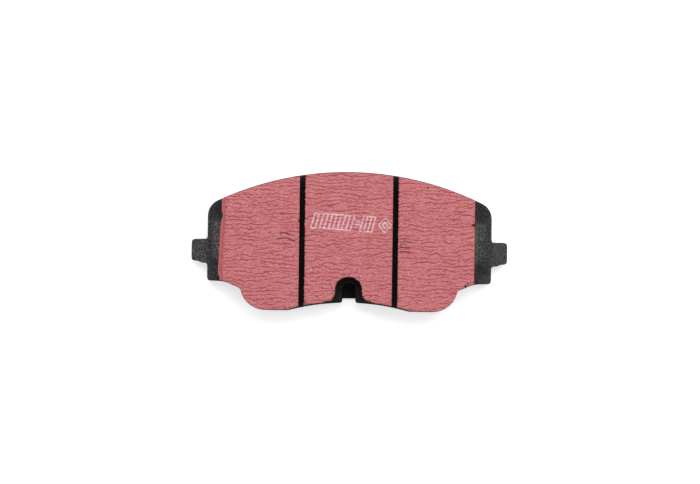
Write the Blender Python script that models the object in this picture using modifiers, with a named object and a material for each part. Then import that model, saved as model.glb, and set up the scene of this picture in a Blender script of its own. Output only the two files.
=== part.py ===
"""Disc brake pad for a floating caliper.

A stamped backing plate with two ears carries a lining in three blocks, with a break-in coating, on one
side and a pinned, laminated noise shim on the other. The pad lies on its shim with the lining up.
+X runs along the pad, +Y towards the rim of the disc, +Z towards the disc. Metres. The origin is the
centre of the pad's bounding box, on the shim's outer face.
"""

from math import acos, asin, ceil, cos, pi, sin, tan

import bmesh
import bpy
from mathutils import Matrix, Vector

MM = 0.001

# Overall
PAD_WIDTH = 160.0 * MM
PAD_HEIGHT = 70.6 * MM
GAP = 0.3 * MM
CHORD_ERROR = 0.03 * MM
MERGE = 0.01 * MM

# Backing plate, seen from the lining side
PLATE_THICK = 6.0 * MM
PLATE_EDGE_ROUND = 0.4 * MM
SIDE_X = 72.0 * MM
TOP_ARC_R = 155.4 * MM
UPPER_CORNER_R = 8.5 * MM
SHOULDER_Y = -20.7 * MM
SHOULDER_CORNER_R = 1.4 * MM
SHOULDER_END = (63.3 * MM, -21.0 * MM)
SHOULDER_BEND_R = 10.0 * MM
KNEE = (54.9 * MM, -24.6 * MM)
KNEE_R = 1.0 * MM
LOBE_SIDE_X = 52.5 * MM
LOBE_R = 12.8 * MM
FOOT_R = 5.0 * MM
INNER_ARC_R = 114.0 * MM
INNER_ARC_TOP_Y = -31.1 * MM
INNER_ARC_HALF = 29.5 * MM

# Ears
EAR_TOP_Y = 0.4 * MM
EAR_LOW_Y = -10.75 * MM
EAR_ROOT_Y = -11.75 * MM
EAR_RAMP_X = (76.9 * MM, 74.9 * MM)
EAR_CORNER_R = 1.4 * MM
EAR_ROOT_R = 1.1 * MM
EAR_RAMP_R = 0.8 * MM

# Openings in the lower edge: the plate's U notch and the wider arch that the lining leaves around it
NOTCH = {"half_width": 3.25 * MM, "top_y": -20.7 * MM, "top_r": 3.2 * MM, "mouth_r": 1.0 * MM}
ARCH = {"half_width": 6.5 * MM, "top_y": -17.7 * MM, "top_r": 6.45 * MM, "mouth_r": 5.4 * MM}

# Lining
LINING_INSET = 0.9 * MM
LINING_HALF_WIDTH = 64.5 * MM
END_CHAMFER = 2.2 * MM
SLOT_WIDTH = 2.8 * MM
SLOT_LEFT_X = -23.7 * MM
SLOT_RIGHT_X = 22.8 * MM
FRICTION_THICK = 7.8 * MM
UNDERLAYER_THICK = 2.0 * MM
BOND_THICK = 0.2 * MM
COAT_THICK = 0.3 * MM
KEY_R = 5.0 * MM
KEY_SHORT_OF_BACK = 0.5 * MM
KEY_PLACES = [(46.0 * MM, 8.0 * MM), (40.0 * MM, -20.0 * MM)]

# Noise shim and its pins
SHIM_INSET = 2.0 * MM
SHIM_OUTER_THICK = 0.3 * MM
SHIM_STEEL_THICK = 0.5 * MM
SHIM_INNER_THICK = 0.2 * MM
SHIM_ADHESIVE_THICK = 0.2 * MM
PIN_X = 60.0 * MM
PIN_Y = -3.0 * MM
PIN_R = 1.5 * MM
PIN_HEAD_R = 2.8 * MM
PIN_HEAD_THICK = 0.3 * MM
PIN_DEPTH_IN_PLATE = 2.5 * MM
ROUND_STEPS = 32

# Heights of the layers' lower faces, each layer resting on the one below
SHIM_OUTER_Z = 0.0
SHIM_STEEL_Z = SHIM_OUTER_Z + SHIM_OUTER_THICK + GAP
SHIM_INNER_Z = SHIM_STEEL_Z + SHIM_STEEL_THICK + GAP
SHIM_ADHESIVE_Z = SHIM_INNER_Z + SHIM_INNER_THICK + GAP
PLATE_Z = SHIM_ADHESIVE_Z + SHIM_ADHESIVE_THICK + GAP
BOND_Z = PLATE_Z + PLATE_THICK + GAP
UNDERLAYER_Z = BOND_Z + BOND_THICK + GAP
FRICTION_Z = UNDERLAYER_Z + UNDERLAYER_THICK + GAP
COAT_Z = FRICTION_Z + FRICTION_THICK + GAP
COAT_TOP_Z = COAT_Z + COAT_THICK

# Colours are linear RGB
FINISHES = {
    "black_paint": ((0.028, 0.028, 0.030), 0.55, 0.0),
    "friction_compound": ((0.045, 0.043, 0.040), 0.95, 0.0),
    "underlayer_compound": ((0.020, 0.019, 0.018), 0.95, 0.0),
    "bond_adhesive": ((0.10, 0.055, 0.025), 0.6, 0.0),
    "break_in_coating": ((0.53, 0.165, 0.175), 0.9, 0.0),
    "shim_rubber": ((0.012, 0.012, 0.013), 0.7, 0.0),
    "shim_steel": ((0.55, 0.54, 0.52), 0.35, 1.0),
    "shim_adhesive": ((0.30, 0.22, 0.12), 0.5, 0.0),
    "pin_steel": ((0.48, 0.47, 0.45), 0.4, 1.0),
}


def clear_scene():
    for thing in list(bpy.data.objects):
        bpy.data.objects.remove(thing, do_unlink=True)


def new_collection(name):
    collection = bpy.data.collections.new(name)
    bpy.context.scene.collection.children.link(collection)
    return collection


def make_material(name):
    colour, roughness, metallic = FINISHES[name]
    material = bpy.data.materials.new(name)
    material.use_nodes = True
    shader = material.node_tree.nodes["Principled BSDF"]
    shader.inputs["Base Color"].default_value = (*colour, 1.0)
    shader.inputs["Roughness"].default_value = roughness
    shader.inputs["Metallic"].default_value = metallic
    return material


# Outlines. A corner is (x, y, radius). Corners run clockwise, and an arc is one corner with its radius.


def mirrored(right_half):
    """Close a right half, listed from the top down, with its mirror image."""
    return right_half + [(-x, y, r) for x, y, r in reversed(right_half) if x > 0]


def neighbours(corners):
    return zip(corners[-1:] + corners[:-1], corners, corners[1:] + corners[:1])


def directions(before, corner, after):
    """Unit vectors from a corner back to the one before it and on to the one after it."""
    here = Vector(corner[:2])
    return (Vector(before[:2]) - here).normalized(), (Vector(after[:2]) - here).normalized()


def inset_corners(corners, inset):
    """Move every edge inwards, or outwards where inset is negative, and keep the arcs concentric."""
    moved = []
    for before, corner, after in neighbours(corners):
        back, on = directions(before, corner, after)
        inward_in = Vector((-back.y, back.x))
        inward_on = Vector((on.y, -on.x))
        shift = inset / (1 + inward_in.dot(inward_on))
        x, y = Vector(corner[:2]) + (inward_in + inward_on) * shift
        outer_corner = back.cross(on) > 0
        moved.append((x, y, max(corner[2] + (-inset if outer_corner else inset), 0.0)))
    return moved


def corner_arc(before, corner, after):
    """Points of the arc that rounds one corner, one of them at its middle, to within CHORD_ERROR."""
    here, radius = Vector(corner[:2]), corner[2]
    if radius < CHORD_ERROR:
        return [here]
    back, on = directions(before, corner, after)
    turn = pi - back.angle(on)
    centre = here + (back + on).normalized() * radius / cos(turn / 2)
    start = here + back * radius * tan(turn / 2) - centre
    sense = -1 if back.cross(on) > 0 else 1
    steps = 2 * ceil(turn / (4 * acos(1 - CHORD_ERROR / radius)))
    return [centre + Matrix.Rotation(sense * turn * i / steps, 2) @ start for i in range(steps + 1)]


def rounded(corners):
    """An outline's points, with each corner replaced by its arc."""
    points = []
    for before, corner, after in neighbours(corners):
        for point in corner_arc(before, corner, after):
            if not points or (point - points[-1]).length > MERGE:
                points.append(point)
    return points


def circle(x, y, radius):
    turns = [2 * pi * i / ROUND_STEPS for i in range(ROUND_STEPS)]
    return [Vector((x + radius * cos(a), y + radius * sin(a))) for a in turns]


def upper_corners():
    """The top arc and the upper corner that it runs into without a kink."""
    lean = asin((SIDE_X - UPPER_CORNER_R) / (TOP_ARC_R - UPPER_CORNER_R))
    peak_y = PAD_HEIGHT / 2 - TOP_ARC_R + TOP_ARC_R / cos(lean)
    return [(0.0, peak_y, TOP_ARC_R), (SIDE_X, peak_y - SIDE_X * tan(lean), UPPER_CORNER_R)]


def ear_corners():
    tip_x = PAD_WIDTH / 2
    return [
        (SIDE_X, EAR_TOP_Y, EAR_ROOT_R),
        (tip_x, EAR_TOP_Y, EAR_CORNER_R),
        (tip_x, EAR_LOW_Y, EAR_CORNER_R),
        (EAR_RAMP_X[0], EAR_LOW_Y, EAR_RAMP_R),
        (EAR_RAMP_X[1], EAR_ROOT_Y, EAR_RAMP_R),
        (SIDE_X, EAR_ROOT_Y, EAR_ROOT_R),
    ]


def lower_corners():
    """From the shoulder round the lobe to the inner arc, whose corner is on the centre line."""
    lean = asin(INNER_ARC_HALF / INNER_ARC_R)
    low_y = -PAD_HEIGHT / 2
    peak_y = INNER_ARC_TOP_Y - INNER_ARC_R + INNER_ARC_R / cos(lean)
    return [
        (SIDE_X, SHOULDER_Y, SHOULDER_CORNER_R),
        (*SHOULDER_END, SHOULDER_BEND_R),
        (*KNEE, KNEE_R),
        (LOBE_SIDE_X, low_y, LOBE_R),
        ((peak_y - low_y) / tan(lean), low_y, FOOT_R),
        (0.0, peak_y, INNER_ARC_R),
    ]


def opening_corners(inset, half_width, top_y, top_r, mouth_r):
    """The inner arc up to an opening's rounded mouth, and the opening's wall and round top."""
    arc_r = INNER_ARC_R + inset
    centre_y = INNER_ARC_TOP_Y - INNER_ARC_R
    foot, mouth = asin(INNER_ARC_HALF / INNER_ARC_R), asin((half_width + mouth_r) / arc_r)
    middle, reach = (foot + mouth) / 2, arc_r / cos((foot - mouth) / 2)
    mouth_y = centre_y + arc_r / cos(mouth) - half_width * tan(mouth)
    return [
        (reach * sin(middle), centre_y + reach * cos(middle), arc_r),
        (half_width, mouth_y, mouth_r),
        (half_width, top_y, top_r),
    ]


def pad_outline(inset=0.0, ears=False, opening=None):
    """The pad's plan as points, moved inwards by inset, with the ears or an opening where asked."""
    half = upper_corners() + (ear_corners() if ears else []) + lower_corners()
    half = inset_corners(mirrored(half), inset)[: len(half)]
    if opening:
        half[-1:] = opening_corners(inset, **opening)
    return rounded(mirrored(half))


# Solids


def flat_curve(name, outlines, thick):
    """A flat outline, with any further outlines as holes, extruded to both sides of z = 0."""
    curve = bpy.data.curves.new(name, "CURVE")
    curve.dimensions = "2D"
    curve.fill_mode = "BOTH"
    curve.extrude = thick / 2
    for outline in outlines:
        spline = curve.splines.new("POLY")
        spline.points.add(len(outline) - 1)
        for spline_point, (x, y) in zip(spline.points, outline):
            spline_point.co = (x, y, 0.0, 1.0)
        spline.use_cyclic_u = True
    return bpy.data.objects.new(name, curve)


def solid_from_curve(curve_object, collection):
    """Turn a flat curve into a closed mesh in the same place, and remove the curve."""
    collection.objects.link(curve_object)
    bpy.context.view_layer.update()
    evaluated = curve_object.evaluated_get(bpy.context.evaluated_depsgraph_get())
    mesh = bpy.data.meshes.new_from_object(evaluated)
    form = bmesh.new()
    form.from_mesh(mesh)
    bmesh.ops.remove_doubles(form, verts=form.verts, dist=MERGE)
    bmesh.ops.recalc_face_normals(form, faces=form.faces)
    form.to_mesh(mesh)
    form.free()
    name, place = curve_object.name, curve_object.matrix_world.copy()
    bpy.data.objects.remove(curve_object, do_unlink=True)
    solid = bpy.data.objects.new(name, mesh)
    solid.matrix_world = place
    collection.objects.link(solid)
    return solid


def flat_solid(name, outlines, low_z, thick, collection):
    curve_object = flat_curve(name, outlines, thick)
    curve_object.location.z = low_z + thick / 2
    return solid_from_curve(curve_object, collection)


def section_solid(name, section, length, collection):
    """An (x, z) section drawn out along Y, to half its length on each side of y = 0."""
    curve_object = flat_curve(name, [section], length)
    curve_object.rotation_euler.x = pi / 2
    return solid_from_curve(curve_object, collection)


def cylinder(name, radius, low_z, high_z, x, y, collection):
    mesh = bpy.data.meshes.new(name)
    form = bmesh.new()
    bmesh.ops.create_cone(
        form, cap_ends=True, segments=ROUND_STEPS, radius1=radius, radius2=radius, depth=high_z - low_z
    )
    form.to_mesh(mesh)
    form.free()
    solid = bpy.data.objects.new(name, mesh)
    solid.location = (x, y, (low_z + high_z) / 2)
    collection.objects.link(solid)
    return solid


def add_boolean(piece, operation, cutter):
    """Join a hidden solid to a piece, cut it away, or keep only what they share."""
    cutter.hide_render = True
    cutter.display_type = "WIRE"
    modifier = piece.modifiers.new(f"{operation.lower()} {cutter.name}", "BOOLEAN")
    modifier.operation = operation
    modifier.solver = "EXACT"
    modifier.object = cutter


# Pieces


def key_centres():
    return [(side * x, y) for side in (-1, 1) for x, y in KEY_PLACES]


def pin_centres():
    return {"left": (-PIN_X, PIN_Y), "right": (PIN_X, PIN_Y)}


def make_plate(parts, cutters):
    outline = pad_outline(ears=True, opening=NOTCH)
    plate = flat_solid("backing_plate", [outline], PLATE_Z, PLATE_THICK, parts)
    bevel = plate.modifiers.new("stamped edges", "BEVEL")
    bevel.width = PLATE_EDGE_ROUND
    bevel.segments = 2
    bevel.limit_method = "ANGLE"
    bevel.angle_limit = pi / 3
    above, below = PLATE_Z + PLATE_THICK + GAP, PLATE_Z - GAP
    for number, (x, y) in enumerate(key_centres()):
        hole = cylinder(f"key_hole_{number}", KEY_R + GAP, below, above, x, y, cutters)
        add_boolean(plate, "DIFFERENCE", hole)
    hole_top = PLATE_Z + PIN_DEPTH_IN_PLATE + GAP
    for side, (x, y) in pin_centres().items():
        hole = cylinder(f"pin_hole_{side}", PIN_R + GAP, below, hole_top, x, y, cutters)
        add_boolean(plate, "DIFFERENCE", hole)
    return plate


def make_shim_layer(name, low_z, thick, hole_radius, parts):
    holes = [circle(x, y, hole_radius) for x, y in pin_centres().values()]
    return flat_solid(name, [pad_outline(inset=SHIM_INSET), *holes], low_z, thick, parts)


def make_pin(side, x, y, parts):
    """A turned pin: a flat head under the shim's steel, and a shank up into the plate."""
    profile = [
        (0.0, PLATE_Z + PIN_DEPTH_IN_PLATE),
        (PIN_R, PLATE_Z + PIN_DEPTH_IN_PLATE),
        (PIN_R, PIN_HEAD_THICK),
        (PIN_HEAD_R, PIN_HEAD_THICK),
        (PIN_HEAD_R, 0.0),
        (0.0, 0.0),
    ]
    mesh = bpy.data.meshes.new(f"shim_pin_{side}")
    edges = [(i, i + 1) for i in range(len(profile) - 1)]
    mesh.from_pydata([(r, 0.0, z) for r, z in profile], edges, [])
    pin = bpy.data.objects.new(f"shim_pin_{side}", mesh)
    pin.location = (x, y, 0.0)
    screw = pin.modifiers.new("turn", "SCREW")
    screw.steps = screw.render_steps = ROUND_STEPS
    screw.use_merge_vertices = True
    screw.merge_threshold = MERGE
    parts.objects.link(pin)
    return pin


def lining_prism(name, parts):
    """The lining's plan through its whole height, to be cut to a layer by its section."""
    plan = pad_outline(inset=LINING_INSET, opening=ARCH)
    return flat_solid(name, [plan], BOND_Z - GAP, COAT_TOP_Z - BOND_Z + 2 * GAP, parts)


def make_lining_piece(name, section, parts, cutters):
    """What the lining's plan and an (x, z) section share."""
    piece = lining_prism(name, parts)
    add_boolean(piece, "INTERSECT", section_solid(f"{name}_section", section, 2 * PAD_HEIGHT, cutters))
    return piece


def slab(x0, x1, low_z, thick):
    return [(x0, low_z), (x0, low_z + thick), (x1, low_z + thick), (x1, low_z)]


def make_bond_film(parts, cutters):
    section = slab(-LINING_HALF_WIDTH, LINING_HALF_WIDTH, BOND_Z, BOND_THICK)
    film = make_lining_piece("bond_film", section, parts, cutters)
    for number, (x, y) in enumerate(key_centres()):
        hole = cylinder(f"bond_hole_{number}", KEY_R + GAP, PLATE_Z, FRICTION_Z, x, y, cutters)
        add_boolean(film, "DIFFERENCE", hole)
    return film


def make_underlayer(parts, cutters):
    section = slab(-LINING_HALF_WIDTH, LINING_HALF_WIDTH, UNDERLAYER_Z, UNDERLAYER_THICK)
    layer = make_lining_piece("underlayer", section, parts, cutters)
    key_low, key_high = PLATE_Z + KEY_SHORT_OF_BACK, UNDERLAYER_Z + UNDERLAYER_THICK / 2
    for number, (x, y) in enumerate(key_centres()):
        add_boolean(layer, "UNION", cylinder(f"key_{number}", KEY_R, key_low, key_high, x, y, cutters))
    return layer


def block_spans():
    """Each block's two ends along X, at a slot or at the lining's own end."""
    half_slot = SLOT_WIDTH / 2
    return {
        "left": (-LINING_HALF_WIDTH, SLOT_LEFT_X - half_slot),
        "centre": (SLOT_LEFT_X + half_slot, SLOT_RIGHT_X - half_slot),
        "right": (SLOT_RIGHT_X + half_slot, LINING_HALF_WIDTH),
    }


def block_section(x0, x1, side):
    """A block's section, with a chamfer on the pad's own end but not at a slot."""
    top = FRICTION_Z + FRICTION_THICK
    left, right = [(x0, top)], [(x1, top)]
    if side == "left":
        left = [(x0, top - END_CHAMFER), (x0 + END_CHAMFER, top)]
    if side == "right":
        right = [(x1 - END_CHAMFER, top), (x1, top - END_CHAMFER)]
    return [(x0, FRICTION_Z), *left, *right, (x1, FRICTION_Z)]


def coat_section(x0, x1, side):
    """A sheet over the block's top. The left one laps down the chamfer, the right one stops at it."""
    if side != "left":
        return slab(x0, x1 - (END_CHAMFER if side == "right" else 0.0), COAT_Z, COAT_THICK)
    block = [(x, z, 0.0) for x, z in block_section(x0, x1, side)]
    under = [(x, z) for x, z, _ in inset_corners(block, -GAP)]
    over = [(x, z) for x, z, _ in inset_corners(block, -GAP - COAT_THICK)]
    return [*over[1:3], (x1, COAT_TOP_Z), (x1, COAT_Z), under[2], under[1]]


def make_lining(parts, cutters):
    """Yield each block and its coating with the name of its finish."""
    for side, (x0, x1) in block_spans().items():
        block = make_lining_piece(f"friction_{side}", block_section(x0, x1, side), parts, cutters)
        yield block, "friction_compound"
        coat = make_lining_piece(f"break_in_coat_{side}", coat_section(x0, x1, side), parts, cutters)
        yield coat, "break_in_coating"


def make_shim(parts):
    """Yield the shim's layers and pins with the names of their finishes."""
    head_hole, shank_hole = PIN_HEAD_R + GAP, PIN_R + GAP
    layers = [
        ("shim_outer_rubber", SHIM_OUTER_Z, SHIM_OUTER_THICK, head_hole, "shim_rubber"),
        ("shim_steel", SHIM_STEEL_Z, SHIM_STEEL_THICK, shank_hole, "shim_steel"),
        ("shim_inner_rubber", SHIM_INNER_Z, SHIM_INNER_THICK, shank_hole, "shim_rubber"),
        ("shim_adhesive", SHIM_ADHESIVE_Z, SHIM_ADHESIVE_THICK, shank_hole, "shim_adhesive"),
    ]
    for name, low_z, thick, hole_radius, finish in layers:
        yield make_shim_layer(name, low_z, thick, hole_radius, parts), finish
    for side, (x, y) in pin_centres().items():
        pin = make_pin(side, x, y, parts)
        pin.data.shade_smooth()
        yield pin, "pin_steel"


def build():
    clear_scene()
    parts, cutters = new_collection("brake_pad"), new_collection("brake_pad_cutters")
    pad = bpy.data.objects.new("brake_pad", None)
    parts.objects.link(pad)
    materials = {name: make_material(name) for name in FINISHES}
    pieces = [
        (make_plate(parts, cutters), "black_paint"),
        (make_bond_film(parts, cutters), "bond_adhesive"),
        (make_underlayer(parts, cutters), "underlayer_compound"),
        *make_lining(parts, cutters),
        *make_shim(parts),
    ]
    for piece, finish in pieces:
        piece.data.materials.append(materials[finish])
        piece.parent = pad
    bpy.context.view_layer.update()


build()
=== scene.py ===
"""The looks of a disc brake pad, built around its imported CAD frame.

Every outline is read from the frame by slicing a CAD node, and each layer of the pad is rebuilt there as
a finely meshed, closed piece with its own procedural material. Lengths are in millimetres until a mesh
is written. The pad lies on its back: +z is the friction face, +y the arched edge, and the notch is at -y.
"""

import math

import bmesh
import bpy
import numpy as np
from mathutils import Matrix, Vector
from mathutils.geometry import delaunay_2d_cdt
from mathutils.kdtree import KDTree


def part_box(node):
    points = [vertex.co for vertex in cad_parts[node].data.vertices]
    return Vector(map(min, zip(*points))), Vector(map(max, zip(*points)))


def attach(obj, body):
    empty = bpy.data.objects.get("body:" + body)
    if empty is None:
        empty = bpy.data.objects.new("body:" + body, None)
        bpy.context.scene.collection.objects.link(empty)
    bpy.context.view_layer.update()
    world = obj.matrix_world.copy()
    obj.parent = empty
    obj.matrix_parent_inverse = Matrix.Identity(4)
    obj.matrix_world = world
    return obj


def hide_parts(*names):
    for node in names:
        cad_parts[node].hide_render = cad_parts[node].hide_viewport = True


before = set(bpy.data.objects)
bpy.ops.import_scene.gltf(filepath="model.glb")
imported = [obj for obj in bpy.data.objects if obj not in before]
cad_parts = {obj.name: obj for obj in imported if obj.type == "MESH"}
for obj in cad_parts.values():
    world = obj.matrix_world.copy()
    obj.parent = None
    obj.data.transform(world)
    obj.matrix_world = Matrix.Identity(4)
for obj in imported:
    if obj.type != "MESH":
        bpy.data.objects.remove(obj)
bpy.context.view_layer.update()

MM = 0.001
WELD = 0.001
WALL_STEP = 0.4
CORNER_TURN = 35.0  # degrees: an outline's sharper turns stay as corners
SMOOTH_PASSES = 3
SHARP_ANGLE = 42.0  # degrees: steeper turns between faces are shaded as edges
NOISE_TABLE = 256
GRID_SHAKE = 0.18  # share of a grid step
EDGE_CLEAR = 0.6  # share of a grid step
SAME_POINT = 1e-6
INSIDE_OUTLINES = 1  # delaunay_2d_cdt: keep only the triangles within the outlines
COARSE = (3.0, 3.0)  # grid steps for flat faces that nobody sees
MEDIUM = (2.0, 2.0)  # and for those between a block and its coating


# -------- levels and plan sizes from the frame

def low_of(node):
    """The height of a CAD node's underside."""
    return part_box(node)[0].z / MM


def high_of(node):
    """The height of a CAD node's top."""
    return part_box(node)[1].z / MM


def seam(lower, upper):
    """The height where two visual layers meet: the middle of the CAD's gap between them."""
    return (high_of(lower) + low_of(upper)) / 2


SHIM_BOTTOM = low_of("shim_outer_rubber")
OUTER_TO_STEEL = seam("shim_outer_rubber", "shim_steel")
STEEL_TO_INNER = seam("shim_steel", "shim_inner_rubber")
INNER_TO_GLUE = seam("shim_inner_rubber", "shim_adhesive")
PLATE_BOTTOM = low_of("backing_plate")
PLATE_TOP = high_of("backing_plate")
CAD_GAP = low_of("bond_film") - PLATE_TOP
BOND_TO_UNDER = high_of("bond_film") + CAD_GAP / 2  # the underlayer's own box starts at its keys
UNDER_TO_BLOCK = seam("underlayer", "friction_centre")
BLOCK_TO_COAT = seam("friction_centre", "break_in_coat_centre")
COAT_TOP = high_of("break_in_coat_centre")
BLOCK_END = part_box("friction_right")[1].x / MM
CHAMFER_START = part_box("break_in_coat_right")[1].x / MM


# -------- noise

def ease(value, low, high):
    """0 below low, 1 above high and a smooth ramp between them."""
    share = np.clip((value - low) / (high - low), 0, 1)
    return share * share * (3 - 2 * share)


def noise(x, y, seed):
    """Gradient noise on a unit lattice, from about -1 to 1."""
    turns = np.random.default_rng(seed).uniform(0, 2 * np.pi, (NOISE_TABLE, NOISE_TABLE))
    gradient_x = np.cos(turns)
    gradient_y = np.sin(turns)
    cell_x = np.floor(x).astype(int)
    cell_y = np.floor(y).astype(int)
    part_x = x - cell_x
    part_y = y - cell_y

    def corner(step_x, step_y):
        i = (cell_x + step_x) % NOISE_TABLE
        j = (cell_y + step_y) % NOISE_TABLE
        return gradient_x[i, j] * (part_x - step_x) + gradient_y[i, j] * (part_y - step_y)

    fade_x = part_x ** 3 * (part_x * (6 * part_x - 15) + 10)
    fade_y = part_y ** 3 * (part_y * (6 * part_y - 15) + 10)
    low = corner(0, 0) * (1 - fade_x) + corner(1, 0) * fade_x
    high = corner(0, 1) * (1 - fade_x) + corner(1, 1) * fade_x
    return (low * (1 - fade_y) + high * fade_y) * 1.5


def grit(x, y, z, size, seed):
    """Noise for a wall that runs any way in plan, with grains of about size mm."""
    return noise(x / size, z / size, seed) + noise(y / size, z / size + 9.5, seed + 1)


# -------- outlines

def signed_area(loop):
    """The area of an outline, positive when it runs counter-clockwise."""
    after = np.roll(loop, -1, axis=0)
    return 0.5 * float(np.sum(loop[:, 0] * after[:, 1] - after[:, 0] * loop[:, 1]))


def inside(points, loops):
    """True for the points that lie within an odd number of the outlines."""
    x, y = points.T
    odd = np.zeros(len(points), bool)
    for loop in loops:
        for (x0, y0), (x1, y1) in zip(loop, np.roll(loop, -1, axis=0)):
            if y0 == y1:
                continue
            spans = (y0 > y) != (y1 > y)
            odd ^= spans & (x < (x1 - x0) * (y - y0) / (y1 - y0) + x0)
    return odd


def cut_loops(node, level):
    """The raw closed outlines where a CAD node crosses a level."""
    bm = bmesh.new()
    bm.from_mesh(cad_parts[node].data)
    bmesh.ops.remove_doubles(bm, verts=bm.verts, dist=WELD * MM)
    everything = bm.verts[:] + bm.edges[:] + bm.faces[:]
    bmesh.ops.bisect_plane(
        bm, geom=everything, plane_co=(0, 0, level * MM), plane_no=(0, 0, 1),
        clear_inner=True, clear_outer=True,
    )
    bmesh.ops.remove_doubles(bm, verts=bm.verts, dist=WELD * MM)
    bm.verts.index_update()
    loops, seen = [], set()
    for first in bm.verts:
        if first.index in seen:
            continue
        loop, here, edge = [], first, first.link_edges[0]
        while here.index not in seen:
            seen.add(here.index)
            loop.append((here.co.x / MM, here.co.y / MM))
            here = edge.other_vert(here)
            edge = next(e for e in here.link_edges if e != edge)
        loops.append(np.array(loop))
    bm.free()
    return loops


def resampled(loop, step):
    """An outline with even steps. Its corners stay where they are, and its arcs lose their facets."""
    before = loop - np.roll(loop, 1, axis=0)
    after = np.roll(loop, -1, axis=0) - loop
    cross = before[:, 0] * after[:, 1] - before[:, 1] * after[:, 0]
    turn = np.degrees(np.abs(np.arctan2(cross, np.sum(before * after, axis=1))))
    corners = np.flatnonzero(turn > CORNER_TURN)
    if len(corners) == 0:
        corners = np.array([0])
    loop = np.roll(loop, -corners[0], axis=0)
    ends = list(corners - corners[0]) + [len(loop)]
    closed = np.vstack([loop, loop[:1]])
    runs, fixed = [], []
    for start, end in zip(ends, ends[1:]):
        run = closed[start:end + 1]
        along = np.concatenate([[0], np.cumsum(np.hypot(*np.diff(run, axis=0).T))])
        steps = max(1, round(along[-1] / step))
        even = np.linspace(0, along[-1], steps + 1)[:-1]
        runs.append(np.column_stack([np.interp(even, along, run[:, k]) for k in (0, 1)]))
        fixed += [True] + [False] * (steps - 1)
    points = np.vstack(runs)
    fixed = np.array(fixed)[:, None]
    for _ in range(SMOOTH_PASSES):
        blurred = (np.roll(points, 1, axis=0) + 2 * points + np.roll(points, -1, axis=0)) / 4
        points = np.where(fixed, points, blurred)
    return points


def section(node, level, step=WALL_STEP):
    """Even outlines where a CAD node crosses a level, largest first, with material on their left."""
    loops = sorted(cut_loops(node, level), key=lambda loop: -abs(signed_area(loop)))
    made = []
    for i, loop in enumerate(loops):
        is_hole = any(inside(loop[:1], [other])[0] for other in loops[:i])
        if (signed_area(loop) < 0) != is_hole:
            loop = loop[::-1]
        made.append(resampled(loop, step))
    return made


def outward(loop):
    """The way out of the material at each point of an outline, longer at corners for parallel walls."""
    along = np.roll(loop, -1, axis=0) - loop
    along /= np.linalg.norm(along, axis=1)[:, None]
    normal = np.column_stack([along[:, 1], -along[:, 0]])
    before = np.roll(normal, 1, axis=0)
    facing = np.sum(normal * before, axis=1)[:, None]
    return (normal + before) / np.maximum(1 + facing, 0.5)


# -------- surfaces

class Surface:
    """The vertices and faces of one piece while it's being built."""

    def __init__(self):
        self.blocks = []
        self.count = 0
        self.faces = []

    def points(self):
        """All the vertices so far."""
        return np.vstack(self.blocks)

    def add(self, points):
        """Adds vertices and returns their numbers."""
        first = self.count
        self.blocks.append(points)
        self.count += len(points)
        return np.arange(first, self.count)

    def wall(self, rings):
        """Joins rings of equal length, lowest first, and returns the rows of the first and the last."""
        rows = [self.add(ring) for ring in rings]
        for low, high in zip(rows, rows[1:]):
            quads = np.column_stack([low, np.roll(low, -1), np.roll(high, -1), high])
            self.faces += quads.tolist()
        return rows[0], rows[-1]

    def cap(self, rows, level, steps, up=True):
        """Fills the area between rows of vertices. level(x, y) is the height of the points inside it."""
        points = self.points()
        loops = [points[row][:, :2] for row in rows]
        inner, triangles = fill(loops, steps)
        if len(inner):
            rows = rows + [self.add(np.column_stack([inner, level(*inner.T)]))]
        faces = np.concatenate(rows)[triangles]
        self.faces += (faces if up else faces[:, ::-1]).tolist()


def edge_distance(outline):
    """A function of x and y that gives how far points lie from an outline's own points."""
    tree = KDTree(len(outline))
    for i, (x, y) in enumerate(outline):
        tree.insert((x, y, 0), i)
    tree.balance()
    return lambda x, y: np.array([tree.find((px, py, 0))[2] for px, py in zip(x, y)])


def staggered_points(loops, steps):
    """Points on a staggered, slightly shaken grid within outlines, clear of the edges."""
    step_x, step_y = steps
    low, high = loops[0].min(axis=0), loops[0].max(axis=0)
    columns = np.arange(low[0], high[0], step_x)
    levels = np.arange(low[1], high[1], step_y)
    x, y = np.meshgrid(columns, levels)
    x = x + (np.arange(len(levels)) % 2)[:, None] * step_x / 2
    shake = np.random.default_rng(5).uniform(-GRID_SHAKE, GRID_SHAKE, (2,) + x.shape)
    points = np.column_stack([(x + shake[0] * step_x).ravel(), (y + shake[1] * step_y).ravel()])
    points = points[inside(points, loops)]
    to_edge = edge_distance(np.vstack(loops))
    return points[to_edge(*points.T) > EDGE_CLEAR * min(step_x, step_y)]


def fill(loops, steps):
    """Points inside outlines, and the triangles over the outlines' points followed by those points."""
    inner = staggered_points(loops, steps)
    edges, first = [], 0
    for loop in loops:
        ring = np.arange(first, first + len(loop))
        edges += np.column_stack([ring, np.roll(ring, -1)]).tolist()
        first += len(loop)
    given = np.vstack(loops + [inner])
    result = delaunay_2d_cdt([Vector(p) for p in given], edges, [], INSIDE_OUTLINES, SAME_POINT)
    made, _, faces, made_from = result[:4]
    if len(made) != len(given):
        raise ValueError("an outline crosses itself or touches another one")
    source = np.array([origin[0] for origin in made_from])
    triangles = source[np.array(faces)]
    corners = given[triangles]
    first_side = corners[:, 1] - corners[:, 0]
    second_side = corners[:, 2] - corners[:, 0]
    area = first_side[:, 0] * second_side[:, 1] - first_side[:, 1] * second_side[:, 0]
    triangles = np.where(area[:, None] < 0, triangles[:, ::-1], triangles)
    in_hole = inside(corners.mean(axis=1), loops[1:])
    return inner, triangles[~in_hole]


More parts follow.
